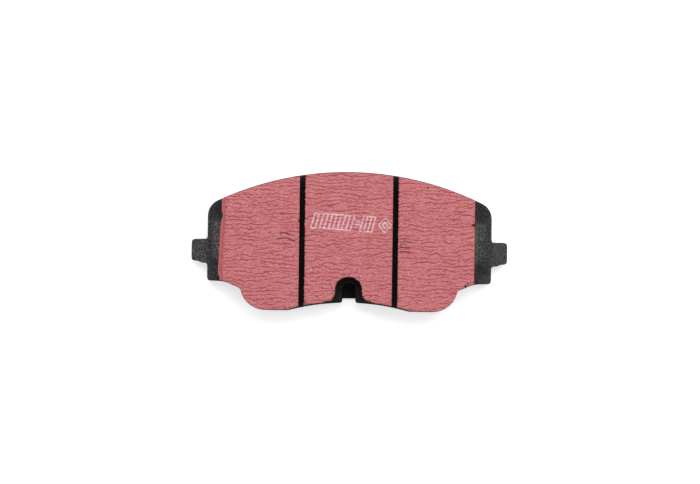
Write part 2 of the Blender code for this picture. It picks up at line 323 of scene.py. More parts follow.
def rings(loop, profile, rough=None, limit=None):
    """A ring of vertices for each (level, inset) of a profile.

    rough(x, y, level) is pushed outwards on top of it. limit(x, y, level) caps the distance from x = 0.
    """
    away = outward(loop)
    made = []
    for level, inset in profile:
        push = np.full(len(loop), -float(inset))
        if rough:
            push = push + rough(*loop.T, level)
        plan = loop + away * push[:, None]
        if limit:
            reach = limit(*loop.T, level)
            plan[:, 0] = np.clip(plan[:, 0], -reach, reach)
            plan[:, 1] = np.where(np.abs(loop[:, 0]) < reach, plan[:, 1], loop[:, 1])
        made.append(np.column_stack([plan, np.full(len(loop), level)]))
    return made


def walls(surface, loops, profile, rough, hole_profile):
    """Walls an outline and its holes. Returns their lowest rows and their highest rows."""
    outline, *holes = loops
    rows = [surface.wall(rings(outline, profile, rough))]
    rows += [surface.wall(rings(hole, hole_profile)) for hole in holes]
    return map(list, zip(*rows))


def flat(level):
    """A height function that is the same everywhere."""
    return lambda x, y: np.full(len(x), level)


def placed(name, data):
    """A new object in the scene."""
    made = bpy.data.objects.new(name, data)
    bpy.context.scene.collection.objects.link(made)
    return made


def make_piece(name, surface, material, nodes, values=None):
    """Turns a surface into an object that rides on the pad and stands for its CAD nodes."""
    mesh = bpy.data.meshes.new(name)
    points = surface.points()
    mesh.from_pydata((points * MM).tolist(), [], surface.faces)
    for key, numbers in (values or {}).items():
        attribute = mesh.attributes.new(key, "FLOAT", "POINT")
        attribute.data.foreach_set("value", np.asarray(numbers, np.float32))
    mesh.materials.append(material)
    mesh.shade_smooth()
    mesh.set_sharp_from_angle(angle=math.radians(SHARP_ANGLE))
    piece = placed(name, mesh)
    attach(piece, "root")
    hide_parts(*nodes)


# -------- materials

class Shader:
    """A procedural material. Sizes are in millimetres in the object's own frame."""

    def __init__(self, name):
        self.material = bpy.data.materials.new(name)
        self.material.use_nodes = True
        self.nodes = self.material.node_tree.nodes
        self.links = self.material.node_tree.links
        self.principled = self.nodes["Principled BSDF"]
        self.place = self.nodes.new("ShaderNodeTexCoord").outputs["Object"]

    def plug(self, socket, value):
        """Links a node's output to a socket, or sets the socket to a plain value."""
        if isinstance(value, bpy.types.NodeSocket):
            self.links.new(value, socket)
        else:
            socket.default_value = value

    def noise(self, size, detail=3.0, stretch=(1, 1, 1), shift=0.0):
        """Noise from 0 to 1 with features of about size mm, longer along an axis by its stretch."""
        mapping = self.nodes.new("ShaderNodeMapping")
        mapping.inputs["Scale"].default_value = [1 / s for s in stretch]
        mapping.inputs["Location"].default_value = (shift, shift, shift)
        texture = self.nodes.new("ShaderNodeTexNoise")
        texture.inputs["Scale"].default_value = 1 / (size * MM)
        texture.inputs["Detail"].default_value = detail
        self.links.new(self.place, mapping.inputs["Vector"])
        self.links.new(mapping.outputs["Vector"], texture.inputs["Vector"])
        return texture.outputs["Fac"]

    def cells(self, size):
        """A random value from 0 to 1 for each cell of about size mm."""
        texture = self.nodes.new("ShaderNodeTexVoronoi")
        texture.inputs["Scale"].default_value = 1 / (size * MM)
        self.links.new(self.place, texture.inputs["Vector"])
        part = self.nodes.new("ShaderNodeSeparateColor")
        self.links.new(texture.outputs["Color"], part.inputs["Color"])
        return part.outputs["Red"]

    def value(self, key):
        """A value kept at each vertex."""
        node = self.nodes.new("ShaderNodeAttribute")
        node.attribute_name = key
        return node.outputs["Fac"]

    def band(self, value, low, high, start=0.0, end=1.0):
        """start below low, end above high and a smooth ramp between them."""
        node = self.nodes.new("ShaderNodeMapRange")
        node.interpolation_type = "SMOOTHSTEP"
        self.plug(node.inputs["Value"], value)
        keys = ("From Min", "From Max", "To Min", "To Max")
        for key, number in zip(keys, (low, high, start, end)):
            node.inputs[key].default_value = number
        return node.outputs["Result"]

    def calc(self, operation, first, second):
        """One step of arithmetic."""
        node = self.nodes.new("ShaderNodeMath")
        node.operation = operation
        self.plug(node.inputs[0], first)
        self.plug(node.inputs[1], second)
        return node.outputs["Value"]

    def mix(self, share, first, second):
        """The first colour at share 0 and the second at share 1."""
        node = self.nodes.new("ShaderNodeMixRGB")
        self.plug(node.inputs["Fac"], share)
        self.plug(node.inputs["Color1"], first)
        self.plug(node.inputs["Color2"], second)
        return node.outputs["Color"]

    def over(self, base, key, strength, colour):
        """A colour laid over the base where a vertex value says, times a strength."""
        return self.mix(self.calc("MULTIPLY", self.value(key), strength), base, colour)

    def finish(self, colour, roughness, height, depth, specular=0.5, metallic=0.0):
        """Joins everything to the surface. depth is the bump's height in mm."""
        bump = self.nodes.new("ShaderNodeBump")
        bump.inputs["Distance"].default_value = depth * MM
        self.plug(bump.inputs["Height"], height)
        inputs = self.principled.inputs
        self.plug(inputs["Base Color"], colour)
        self.plug(inputs["Roughness"], roughness)
        self.plug(inputs["Metallic"], metallic)
        self.plug(inputs["Specular IOR Level"], specular)
        self.plug(inputs["Normal"], bump.outputs["Normal"])
        return self.material


COAT_RED = (0.548, 0.134, 0.143, 1)
COAT_LIGHT = (0.628, 0.238, 0.246, 1)
# COAT_CREASE_SHADE is painted shade: the wrinkles, small pits, the rolled rim and the left chamfer's crest
# are darkened with it.
COAT_CREASE_SHADE = (0.385, 0.058, 0.072, 1)
# COAT_LIP is the paler pink of the painted highlight beside the wrinkles, and the hem at the left end is
# paler in it too.
COAT_LIP = (0.690, 0.290, 0.305, 1)
COAT_INK = (0.87, 0.67, 0.72, 1)
COAT_SOIL = (0.070, 0.022, 0.026, 1)
COAT_SPECK = (0.90, 0.80, 0.80, 1)
# COAT_END is the lapped coat's deeper red, partly painted shade of the sloping left end.
COAT_END = (0.590, 0.108, 0.108, 1)
BARE_BLACK = (0.010, 0.010, 0.011, 1)


def coat_material():
    """A brushed-on abrasive coating: chalky red with a worn white print, with painted shade in its
    wrinkles and a painted highlight on the skin beside them.

    make_coat sets the values at its vertices.
    """
    s = Shader("break_in_coating")
    grains = s.noise(0.75, 2.0, (1.5, 1, 1))
    fine = s.noise(0.45, 2.0, (1.4, 1, 1), 7.0)
    speckle = s.calc("ADD", s.calc("MULTIPLY", grains, 0.5), s.calc("MULTIPLY", fine, 0.5))
    base = s.mix(s.band(speckle, 0.43, 0.58), COAT_RED, COAT_LIGHT)
    base = s.mix(s.band(s.noise(7.0, 2.0, (1.6, 1, 1)), 0.35, 0.68, 0.0, 0.30), base, COAT_LIGHT)
    # Painted shade in small pits of the skin.
    pit_shade = s.band(s.noise(0.8, 1.0, shift=3.0), 0.60, 0.72, 0.0, 0.6)
    base = s.mix(pit_shade, base, COAT_CREASE_SHADE)
    specks = s.band(s.noise(0.6, 1.0, shift=5.0), 0.67, 0.74, 0.0, 0.6)
    base = s.mix(specks, base, COAT_SOIL)
    # Painted highlight on the raised skin beside the wrinkles.
    base = s.over(base, "lip_highlight", 0.30, COAT_LIP)
    # Painted shade in the wrinkles.
    base = s.mix(s.band(s.value("crease_shade"), 0.05, 0.8, 0.0, 0.95), base, COAT_CREASE_SHADE)
    worn = s.band(s.noise(0.6, 2.0, shift=1.0), 0.32, 0.50)
    base = s.over(base, "ink", worn, COAT_INK)
    # The lapped coat past the left chamfer: a deeper red, partly its own colour and partly painted shade
    # of the sloping end.
    lap_and_shade = s.band(s.noise(1.2, 3.0, (1, 2, 1)), 0.35, 0.62, 0.30, 0.90)
    base = s.over(base, "end", lap_and_shade, COAT_END)
    # Painted shade: a dark line along the left chamfer's crest.
    base = s.over(base, "crest", 0.42, COAT_CREASE_SHADE)
    # A deeper red along the coat's rolled rim, partly painted shade where the coat rolls down.
    base = s.over(base, "rim", 0.5, COAT_CREASE_SHADE)
    base = s.over(base, "hem", 0.5, COAT_LIP)
    base = s.mix(s.value("soil"), base, COAT_SOIL)
    base = s.mix(s.value("speck"), base, COAT_SPECK)
    base = s.mix(s.value("bare"), base, BARE_BLACK)
    roughness = s.band(grains, 0.3, 0.7, 0.72, 0.92)
    return s.finish(base, roughness, s.noise(0.4, 3.0), 0.035, specular=0.25)


def compound_material(name, dark, light, fleck_share):
    """Moulded friction compound: a dark binder with mineral grains, brassy chips, fibres and dust."""
    s = Shader(name)
    binder = s.mix(s.noise(1.6, 4.0), dark, light)
    minerals = s.band(s.cells(0.55), 1 - fleck_share, 1 - fleck_share + 0.02)
    base = s.mix(minerals, binder, (0.060, 0.057, 0.055, 1))
    brass = s.band(s.cells(0.42), 1 - fleck_share / 6, 1 - fleck_share / 6 + 0.01)
    base = s.mix(brass, base, (0.17, 0.12, 0.075, 1))
    fibres = s.band(s.noise(0.5, 1.0, (6, 1, 1), 2.0), 0.70, 0.76, 0.0, 0.6)
    base = s.mix(fibres, base, (0.055, 0.055, 0.058, 1))
    chalky = s.band(s.noise(0.6, 2.0, shift=8.0), 0.36, 0.62, 0.2, 1.0)
    base = s.over(base, "dust", chalky, (0.165, 0.162, 0.140, 1))
    roughness = s.band(brass, 0.0, 1.0, 0.88, 0.4)
    return s.finish(base, roughness, s.noise(0.45, 4.0), 0.10, specular=0.3, metallic=brass)


def paint_material():
    """Matt black paint with an orange-peel skin, a painted highlight along its rounded top edges and
    compound dust.

    make_plate sets the values at its vertices.
    """
    s = Shader("black_paint")
    fine = s.noise(0.35, 2.0)
    base = s.mix(s.noise(3.0, 3.0), (0.0075, 0.0077, 0.0087, 1), (0.0135, 0.0138, 0.0152, 1))
    flecks = s.band(s.noise(0.82, 1.0, shift=9.0), 0.48, 0.62)
    strength = s.band(s.value("wall"), 0.0, 1.0, 0.42, 0.22)
    base = s.mix(s.calc("MULTIPLY", flecks, strength), base, (0.075, 0.077, 0.084, 1))
    # Painted shade on the paint in the recess around the notch.
    base = s.over(base, "notch_shade", 0.8, (0.0045, 0.0045, 0.005, 1))
    streaks = s.band(s.noise(0.7, 2.0, (1, 2.5, 1), 6.0), 0.38, 0.62)
    patchy = s.calc("ADD", s.calc("MULTIPLY", flecks, 0.70), s.calc("MULTIPLY", streaks, 0.30))
    patchy = s.calc("ADD", patchy, 0.10)
    base = s.over(base, "dust", patchy, (0.29, 0.255, 0.225, 1))
    base = s.over(base, "haze", patchy, (0.165, 0.158, 0.160, 1))
    speckled = s.band(s.noise(0.7, 1.0, shift=4.0), 0.40, 0.60, 0.35, 1.65)
    base = s.over(base, "film", speckled, (0.098, 0.094, 0.100, 1))
    # Painted highlight: a patchy bluish grey along the plate's rounded top edge.
    edge_highlight = s.calc("MULTIPLY", s.value("edge"), s.band(s.noise(1.1, 4.0), 0.35, 0.65, 0.35, 1.0))
    base = s.mix(edge_highlight, base, (0.060, 0.069, 0.083, 1))
    roughness = s.band(s.noise(1.4, 3.0), 0.3, 0.7, 0.62, 0.76)
    height = s.calc("ADD", s.noise(1.3, 2.0), s.calc("MULTIPLY", fine, 0.4))
    return s.finish(base, roughness, height, 0.035, specular=0.28)


def rubber_material():
    """Nitrile rubber facing of the shim: matt black, finely pebbled, with faint rub marks."""
    s = Shader("shim_rubber")
    base = s.mix(s.noise(2.2, 4.0), (0.013, 0.013, 0.014, 1), (0.022, 0.022, 0.023, 1))
    rubs = s.band(s.noise(1.2, 3.0, (9, 1, 1)), 0.62, 0.80, 0.0, 0.5)
    base = s.mix(rubs, base, (0.06, 0.06, 0.062, 1))
    roughness = s.band(s.noise(0.9, 2.0), 0.3, 0.7, 0.55, 0.75)
    return s.finish(base, roughness, s.noise(0.5, 2.0), 0.04, specular=0.35)


def glue_material(name, thin, thick):
    """Cured adhesive: dark and dull, in thinner and thicker patches."""
    s = Shader(name)
    base = s.mix(s.noise(1.5, 3.0), thin, thick)
    roughness = s.band(s.noise(2.5, 2.0), 0.3, 0.7, 0.6, 0.8)
    return s.finish(base, roughness, s.noise(0.7, 3.0), 0.05, specular=0.15)


def metal_material(name, colour, dull, along=(1, 1, 1)):
    """Plated steel with drawn-out tool marks and a few dull blotches."""
    s = Shader(name)
    blotches = s.band(s.noise(2.0, 4.0), 0.4, 0.65)
    base = s.mix(blotches, colour, dull)
    marks = s.noise(0.25, 2.0, along)
    roughness = s.band(marks, 0.3, 0.7, 0.28, 0.5)
    return s.finish(base, roughness, marks, 0.02, metallic=0.9)


# -------- coating: wrinkles, print and marks

CREASE_DEPTH = 0.17
SWELL_HEIGHT = 0.13
EDGE_ROLL = 0.14
CHIP_DEPTH = 0.22
SPECK_HEIGHT = 0.08
SKIRT_RISE = 0.12
THINNEST = 0.14
LIP_NEAR = 0.40
LIP_FAR = 0.7
NOTCH_CENTRE_Y = -25.0
ARCH_REACH = 9.0  # how far the lining's arch reaches from the notch's centre
ARCH_WEAR = 0.5
MIN_EDGE = 0.06
UNTANGLE_PASSES = 5
COAT_STEPS = (0.30, 0.17)
COAT_WALL_STEP = 0.3


def folds(x, y, seed, pitch, run, jitter, width):
    """Thin level wrinkles in rows: 0 on the skin, up to 1 in a wrinkle.

    The rows stand pitch mm apart. Each row wanders and breaks by itself every run mm.
    """
    phase = y / pitch + 0.6 * noise(x / 14, y / 7, seed) + 0.22 * noise(x / 5.0, y / 3, seed + 1)
    nearest = np.floor(phase)
    deepest = np.zeros_like(x)
    for step in (-1, 0, 1, 2):
        row = nearest + step
        own = row * 7.31 + 0.5
        drift = jitter * noise(x / run, own, seed + 2)
        drift = drift + 0.55 * jitter * noise(x / (run * 0.3), own, seed + 5)
        depth = 0.80 + 1.1 * noise(x / (run * 1.1), own + 3.7, seed + 3)
        depth = np.clip(depth + 0.6 * noise(x / 1.2, own + 1.9, seed + 4), 0, 1)
        apart = (phase - row - drift) * pitch
        wide = width * (0.7 + 0.6 * depth)
        deepest = np.maximum(deepest, depth * np.exp(-(apart / wide) ** 2))
    return deepest


def net(x, y, seed, cell, width):
    """A net of wrinkles around flat, lens-shaped cells, which meet at sharp angles: 0 to 1."""
    long, tall = cell
    x = x + 0.8 * noise(x / 6, y / 3, seed + 7)
    y = y + 0.25 * noise(x / 2.2, y / 1.4, seed + 8)

    def field(px, py):
        fine = noise(px / (long * 0.45), py / (tall * 0.5), seed + 1)
        return noise(px / long, py / tall, seed) + 0.35 * fine

    reach = 0.05
    here = field(x, y)
    slope = np.hypot(field(x + reach, y) - here, field(x, y + reach) - here) / reach
    return np.exp(-(here / np.maximum(slope, 0.12) / width) ** 2)


def wrinkles(x, y):
    """The coating's wrinkles: broken level rows over a coarse and a fine net, fainter at the left end."""
    rows = folds(x, y + 0.5 * noise(x / 3.0, y / 4.0, 65), 11, 1.95, 7.0, 0.30, 0.19)
    coarse = net(x, y, 201, (8.0, 1.7), 0.16) * np.clip(0.60 + 1.1 * noise(x / 2.2, y / 1.6, 61), 0, 1)
    fine = net(x, y, 231, (3.6, 0.85), 0.14) * np.clip(0.20 + 0.9 * noise(x / 2.0, y / 1.5, 63), 0, 1)
    on_face = 1 - 0.55 * ease(-x, CHAMFER_START - 0.6, CHAMFER_START + 1.2)
    return np.maximum(np.maximum(rows, 0.85 * coarse), 0.6 * fine) * on_face


def lip_highlights(x, y, here):
    """Where a painted highlight goes: the raised skin right above and below each wrinkle, 0 to 1."""
    beside = [wrinkles(x, y + away) for away in (-LIP_FAR, -LIP_NEAR, LIP_NEAR, LIP_FAR)]
    return np.clip(np.max(beside, axis=0) - here, 0, 1)


def swell(x, y):
    """The puffed skin between the wrinkles, about -1 to 1."""
    return 0.55 * noise(x / 2.6, y / 1.0, 41) + 0.5 * noise(x / 1.1, y / 0.55, 51)


def along_stroke(x, y, start, end, half_width):
    """1 on a straight stroke, falling to 0 beyond half its width."""
    start, end = np.array(start, float), np.array(end, float)
    run = end - start
    share = ((x - start[0]) * run[0] + (y - start[1]) * run[1]) / float(run @ run)
    share = np.clip(share, 0, 1)
    away = np.hypot(x - start[0] - share * run[0], y - start[1] - share * run[1])
    return 1 - ease(away, half_width * 0.55, half_width * 1.45)


PRINT_START = (-19.6, 6.7)
PRINT_TILT = -3.2
PRINT_HEIGHT = 7.4
PRINT_LEAN = 1.7
PRINT_LINE = 0.32


def hatched_strip(start, length, count):
    """The strokes of a printed strip: two rules with slanted bars between them."""
    end = start + length
    low_rule = ((start, 0), (end - PRINT_LEAN, 0))
    high_rule = ((start + PRINT_LEAN, PRINT_HEIGHT), (end, PRINT_HEIGHT))
    strokes = [low_rule, high_rule]
    for foot in np.linspace(start, end - PRINT_LEAN, count):
        strokes.append(((foot, 0), (foot + PRINT_LEAN, PRINT_HEIGHT)))
    return strokes


def lozenge(centre, half_width, half_height):
    """The four strokes of a standing diamond."""
    x, y = centre
    corners = [(x - half_width, y), (x, y + half_height), (x + half_width, y), (x, y - half_height)]
    return list(zip(corners, corners[1:] + corners[:1]))


def print_strokes():
    """A printed pattern that spells nothing, from PRINT_START on: hatched strips, two dashes, diamonds."""
    strokes = hatched_strip(0.2, 21.4, 10)
    strokes += [((22.4, level), (24.4, level)) for level in (3.0, 4.6)]
    strokes += hatched_strip(24.6, 7.6, 4)
    strokes += lozenge((37.0, 3.7), 3.2, 3.6)
    strokes += lozenge((37.0, 3.7), 1.3, 1.5)
    return strokes


def print_ink(x, y):
    """Where the worn print covers the coating, 0 to 1."""
    turn = math.radians(PRINT_TILT)
    from_x, from_y = x - PRINT_START[0], y - PRINT_START[1]
    along = from_x * math.cos(turn) + from_y * math.sin(turn)
    up = -from_x * math.sin(turn) + from_y * math.cos(turn)
    ink = np.zeros_like(x)
    for start, end in print_strokes():
        ink = np.maximum(ink, along_stroke(along, up, start, end, PRINT_LINE))
    return ink * np.clip(0.92 + 0.6 * noise(x / 0.9, y / 0.6, 95), 0.4, 1)


# Marks on the coating. A scuff is its start, its end and its strength, and a dot is its x, y and radius.
SCUFF_HALF_WIDTH = 0.32
SCUFFS = [
    ((-34.6, 4.2), (-31.0, 3.7), 0.8), ((-31.4, 3.6), (-28.2, 2.7), 0.95),
    ((-35.8, 0.9), (-31.4, 1.5), 0.75), ((-31.6, 1.5), (-27.4, -0.2), 1.0),
    ((-33.2, -0.9), (-29.0, -2.1), 0.45), ((25.2, -2.5), (29.8, -2.5), 0.9),
    ((25.4, -4.6), (29.6, -4.7), 0.85), ((25.6, 1.6), (28.2, 1.5), 0.55),
    ((25.4, 0.1), (27.3, 0.0), 0.6), ((28.0, 0.2), (30.8, 0.1), 0.5),
    ((25.5, -1.0), (26.6, -1.1), 0.6), ((28.0, 2.9), (31.4, 2.8), 0.4),
    ((27.2, 0.8), (27.6, -1.2), 0.6), ((25.6, 10.6), (29.5, 10.5), 0.35),
    ((57.4, -14.0), (58.6, -13.9), 0.5),
]
DARK_DOTS = [(38.7, 27.3, 0.6), (31.1, 18.2, 0.5), (-16.0, -27.6, 0.45), (-38.6, -29.0, 0.4),
             (25.9, 8.4, 0.25), (-13.5, -23.2, 0.45), (-60.9, -5.0, 0.3), (35.4, -25.3, 0.3),
             (-8.5, -23.2, 0.45), (-9.2, -22.0, 0.25), (11.1, -27.1, 0.4)]
WHITE_DOTS = [(-19.0, -14.2, 0.32), (10.9, -16.2, 0.27), (29.6, -15.7, 0.27), (8.0, -17.6, 0.24),
              (-1.2, -16.4, 0.18), (13.6, -17.0, 0.2), (6.0, -17.2, 0.22), (23.9, -17.5, 0.2),
              (-9.5, -27.6, 0.22)]
CHIPS = [(62.4, 8.9, 1.0), (61.2, 8.9, 0.6), (-25.0, 10.1, 0.8), (58.1, -21.6, 0.7), (59.3, -20.6, 0.45),
         (-21.6, -31.3, 0.5), (24.4, -28.9, 0.3), (62.5, 14.6, 0.3)]


def dots(x, y, places):
    """1 within any of the round marks (x, y, radius), falling to 0 just outside."""
    shade = np.zeros_like(x)
    for centre_x, centre_y, radius in places:
        away = np.hypot(x - centre_x, y - centre_y)
        shade = np.maximum(shade, 1 - ease(away, radius * 0.5, radius * 1.3))
    return shade


def soil(x, y):
    """Dark scuffs and dots on the coating, 0 to 1, broken up by its grain."""
    shade = dots(x, y, DARK_DOTS)
    for start, end, strength in SCUFFS:
        shade = np.maximum(shade, strength * along_stroke(x, y, start, end, SCUFF_HALF_WIDTH))
    return shade * np.clip(0.95 + 0.6 * noise(x / 0.9, y / 0.9, 91), 0, 1)


def chamfer_lean(x, y):
    """How much further out the left end's chamfer starts at y: it was ground a little askew."""
    return (-0.15 - 0.035 * y) * (x < 0)


def past_chamfer(x, y):
    """How far a point lies past the left end's chamfer line, negative on the face."""
    return -CHAMFER_START - chamfer_lean(x, y) - x


def end_drop(x, y):
    """How far the coating has fallen at the left end: down the chamfer, then round the block's end."""
    past_end = np.maximum(0, -BLOCK_END - x)
    return np.maximum(0, past_chamfer(x, y)) + 1.4 * past_end ** 1.5


def end_lap(y):
    """How far the coating laps past the block at its left end. Its edge wavers."""
    dip = 0.75 * np.exp(-((y - 11.8) / 1.8) ** 2)
    slant = 0.35 - 0.068 * np.minimum(y, 14)
    rounded_end = 1.6 * ease(-y, 15.6, 19.2) ** 1.3
    return slant - dip - rounded_end + 0.14 * noise(y / 2.6, y * 0 + 0.5, 23)


def worn_edge(x, y):
    """How far the coating has worn back from its lower edge: most beside the notch, less at the slots."""
    notch = 0.75 * np.exp(-((np.abs(x) - 10.8) / 2.2) ** 2)
    slots = 0.30 * np.exp(-((np.abs(x) - 24.0) / 3.0) ** 2)
    thin = 0.30 * (1 - ease(np.abs(x), 24, 31))
    uneven = 1 + 0.5 * noise(x / 1.3, y / 1.3, 19)
    return np.maximum(np.maximum(notch, slots), thin) * uneven * (y < -20)


def worn_arch(x, y, faces_right):
    """How far the coating has worn back along the left wall of the arch around the notch."""
    at_arch = (np.hypot(x, y - NOTCH_CENTRE_Y) < ARCH_REACH) & (x < 0)
    return ARCH_WEAR * ease(faces_right, 0.2, 0.9) * at_arch


def untangled(plan, moved):
    """A moved outline without the points that the move pushed past their neighbours."""
    for _ in range(UNTANGLE_PASSES):
        step = moved - np.roll(moved, 1, axis=0)
        before = plan - np.roll(plan, 1, axis=0)
        ahead = np.sum(step * before, axis=1) / np.linalg.norm(before, axis=1)
        keep = ahead > MIN_EDGE
        plan, moved = plan[keep], moved[keep]
    return moved


def coat_outline(name, plan):
    """A coating sheet's outline: a little ragged, most of all on the edges that face -x."""
    away = outward(plan)
    faces_left = np.clip(-away[:, 0], 0, 1)
    x, y = plan.T
    short = 0.10 * np.clip(np.abs(away[:, 1]), 0, 1)
    ragged = 0.05 + 0.24 * faces_left
    push = ragged * (noise(x / 1.1, y / 1.1, 17) + 0.6 * noise(x / 0.5, y / 0.5, 18))
    bites = 0.35 * faces_left * np.clip(wrinkles(x + 0.6, y) - 0.25, 0, 1)
    worn = worn_edge(x, y) * ease(-away[:, 1], 0.3, 0.8) + worn_arch(x, y, away[:, 0])
    moved = plan + away * (push - bites - worn - short)[:, None]
    if name == "left":
        at_end = x < -BLOCK_END + 0.01
        moved[at_end] = plan[at_end]
        hem = -BLOCK_END - end_lap(moved[:, 1])
        moved[:, 0] = np.where(at_end, hem, np.maximum(moved[:, 0], hem))
    return untangled(plan, moved)


def make_coat(name, plan, material):
    """One coating sheet: a wrinkled skin with a rolled edge, on top of its friction block."""
    outline = coat_outline(name, plan)
    to_edge = edge_distance(outline)
    is_left = name == "left"

    def bottom(x, y):
        return BLOCK_TO_COAT - end_drop(x, y) * is_left

    def rim(x, y, reach=0.25):
        return np.exp(-(to_edge(x, y) / reach) ** 2)

    def top(x, y):
        thick = COAT_TOP - BLOCK_TO_COAT - SWELL_HEIGHT / 2 - EDGE_ROLL * rim(x, y)
        thick = thick + SWELL_HEIGHT * swell(x, y) - CREASE_DEPTH * wrinkles(x, y)
        thick = thick - CHIP_DEPTH * dots(x, y, CHIPS) + SPECK_HEIGHT * dots(x, y, WHITE_DOTS)
        return bottom(x, y) + np.maximum(thick, THINNEST)

    def skirt(x, y):
        return bottom(x, y) + SKIRT_RISE

    def ring(inset, level):
        flat_ring = outline - outward(outline) * inset
        return np.column_stack([flat_ring, level(*flat_ring.T)])

    surface = Surface()
    low, high = surface.wall([ring(0.10, bottom), ring(-0.02, skirt), ring(0.03, top)])
    surface.cap([high], top, COAT_STEPS)
    surface.cap([low], bottom, MEDIUM, up=False)
    x, y, _ = surface.points().T
    crest_line = past_chamfer(x, y) - 0.9 - 1.1 * noise(y / 3.1, x / 5.0, 29)
    end_line = past_chamfer(x, y) + 1.1 * noise(y / 1.9, x / 4.0, 27)
    creased = wrinkles(x, y)
    # The wrinkles, the rolled rim and the chamfer's crest get painted shade from these values, the skin
    # beside the wrinkles a painted highlight, and the lap past the left chamfer a deeper red with some
    # painted shade.
    values = {
        "crease_shade": creased,
        "ink": print_ink(x, y) * (1 - 0.6 * creased),
        "soil": soil(x, y),
        "speck": dots(x, y, WHITE_DOTS),
        "bare": dots(x, y, CHIPS),
        "rim": rim(x, y),
        "end": ease(end_line, -0.3, 1.0),
        "crest": np.exp(-(crest_line / 0.4) ** 2),
        "hem": rim(x, y, 0.55) * ease(BLOCK_TO_COAT - bottom(x, y), 0.8, 1.4),
        "lip_highlight": lip_highlights(x, y, creased),
    }
    make_piece("coat_" + name, surface, material, ["break_in_coat_" + name], values)


# -------- friction blocks and underlayer

BLOCK_RINGS = 22  # rows of vertices up a block's wall
SLAB_RINGS = 7  # and up the underlayer's


def block_limit(x, y, level):
    """Half the lining's length at a level: its ends are chamfered at 45 degrees, the left one askew."""
    chamfer_foot = BLOCK_TO_COAT - (BLOCK_END - CHAMFER_START)
    return np.minimum(BLOCK_END, BLOCK_END - (level - chamfer_foot) + chamfer_lean(x, y))


def moulded(x, y, level):
    """The rough wall that a mould leaves on friction compound."""
    coarse = 0.07 * grit(x, y, level, 1.7, 101)
    fine = 0.045 * grit(x, y, level, 0.65, 103)
    hole = grit(x, y, level, 1.3, 107)
    return coarse + fine - 0.22 * ease(hole, 0.75, 1.1)


def make_block(name, material):
    """One friction block, from the underlayer to the coating, with dust on its chamfer."""
    node = "friction_" + name
    [plan] = section(node, low_of(node) + 1)
    levels = np.linspace(UNDER_TO_BLOCK, BLOCK_TO_COAT, BLOCK_RINGS)
    profile = [(level, 0.0) for level in levels]
    profile[-1] = (BLOCK_TO_COAT, 0.06)
    surface = Surface()
    low, high = surface.wall(rings(plan, profile, moulded, block_limit))
    surface.cap([high], flat(BLOCK_TO_COAT), MEDIUM)
    surface.cap([low], flat(UNDER_TO_BLOCK), COARSE, up=False)
    x, y, z = surface.points().T
    near_end = ease(np.abs(x), CHAMFER_START - 0.2, CHAMFER_START + 0.4)
    near_top = ease(z, BLOCK_TO_COAT - 3, BLOCK_TO_COAT - 2)
    values = {"dust": dusty(x, y) * near_end * near_top}
    make_piece("lining_" + name, surface, material, [node], values)


def slot_floor(x, y):
    """The grainy top of the underlayer, seen at the bottom of the slots."""
    return UNDER_TO_BLOCK - 0.05 + 0.05 * noise(x / 0.9, y / 0.9, 111)


def make_underlayer(material):
    """The moulded underlayer with the four keys that fill the plate's holes."""
    bottom, key_bottom = BOND_TO_UNDER, low_of("underlayer")
    [plan] = section("underlayer", high_of("underlayer") - 0.5)
    keys = section("underlayer", (PLATE_BOTTOM + PLATE_TOP) / 2)
    surface = Surface()
    levels = np.linspace(bottom, UNDER_TO_BLOCK, SLAB_RINGS)
    low, high = surface.wall(rings(plan, [(level, -0.03) for level in levels], moulded))
    surface.cap([high], slot_floor, (0.8, 0.8))
    roots = []
    for key in keys:
        profile = [(key_bottom, 0.5), (key_bottom + 0.15, 0.1), (key_bottom + 0.5, 0), (bottom, 0)]
        tip, root = surface.wall(rings(key, profile))
        surface.cap([tip], flat(key_bottom), (1.5, 1.5), up=False)
        roots.append(root)
    surface.cap([low] + roots, flat(bottom), COARSE, up=False)
    make_piece("underlayer_body", surface, material, ["underlayer"])


def squeezed(x, y, level):
    """The uneven edge of adhesive that was pressed out."""
    return 0.07 * grit(x, y, level, 2.6, 121)


def make_bond(material):
    """The cured bead of bonding adhesive between the underlayer and the plate."""
    low_level, high_level = PLATE_TOP, BOND_TO_UNDER
    middle = (low_level + high_level) / 2
    loops = section("bond_film", (low_of("bond_film") + high_of("bond_film")) / 2)
    bead = [
        (low_level, -0.05), (low_level + 0.12, -0.16), (middle, -0.17), (high_level - 0.12, -0.08),
        (high_level, 0.05),
    ]
    surface = Surface()
    lows, highs = walls(surface, loops, bead, squeezed, [(low_level, 0), (high_level, 0)])
    surface.cap(highs, flat(high_level), COARSE)
    surface.cap(lows, flat(low_level), COARSE, up=False)
    make_piece("bond_bead", surface, material, ["bond_film"])


# -------- backing plate

NOTCH_REACH = 14.0
WIDEST_PIN_HOLE = 6.0
# How far the plate's wall is set in at each height above its underside
PLATE_EDGE = [
    (0.0, 0.36), (0.05, 0.20), (0.16, 0.09), (0.4, 0.03), (0.8, 0.0), (1.2, -0.02), (1.6, -0.02),
    (2.0, 0.0), (2.5, 0.02), (3.0, 0.02), (3.6, 0.02), (4.2, 0.02), (4.8, 0.03), (5.2, 0.06),
    (5.5, 0.11), (5.7, 0.18), (5.85, 0.27), (5.94, 0.38), (6.0, 0.55),
]


def stamped(x, y, level):
    """A stamped edge under paint: sheared smooth, torn in its lower third, with faint drag lines."""
    torn = 1 - ease(level - PLATE_BOTTOM, 1.2, 2.4)
    tear = (0.02 + 0.075 * torn) * grit(x, y, level, 0.9, 131)
    drag = 0.022 * (noise(x / 0.7, level / 9, 133) + noise(y / 0.7, level / 9, 134))
    shape = ease(level - PLATE_BOTTOM, 0.0, 0.3) * (1 - ease(level - PLATE_BOTTOM, 5.6, 6.0))
    return (tear + drag) * shape


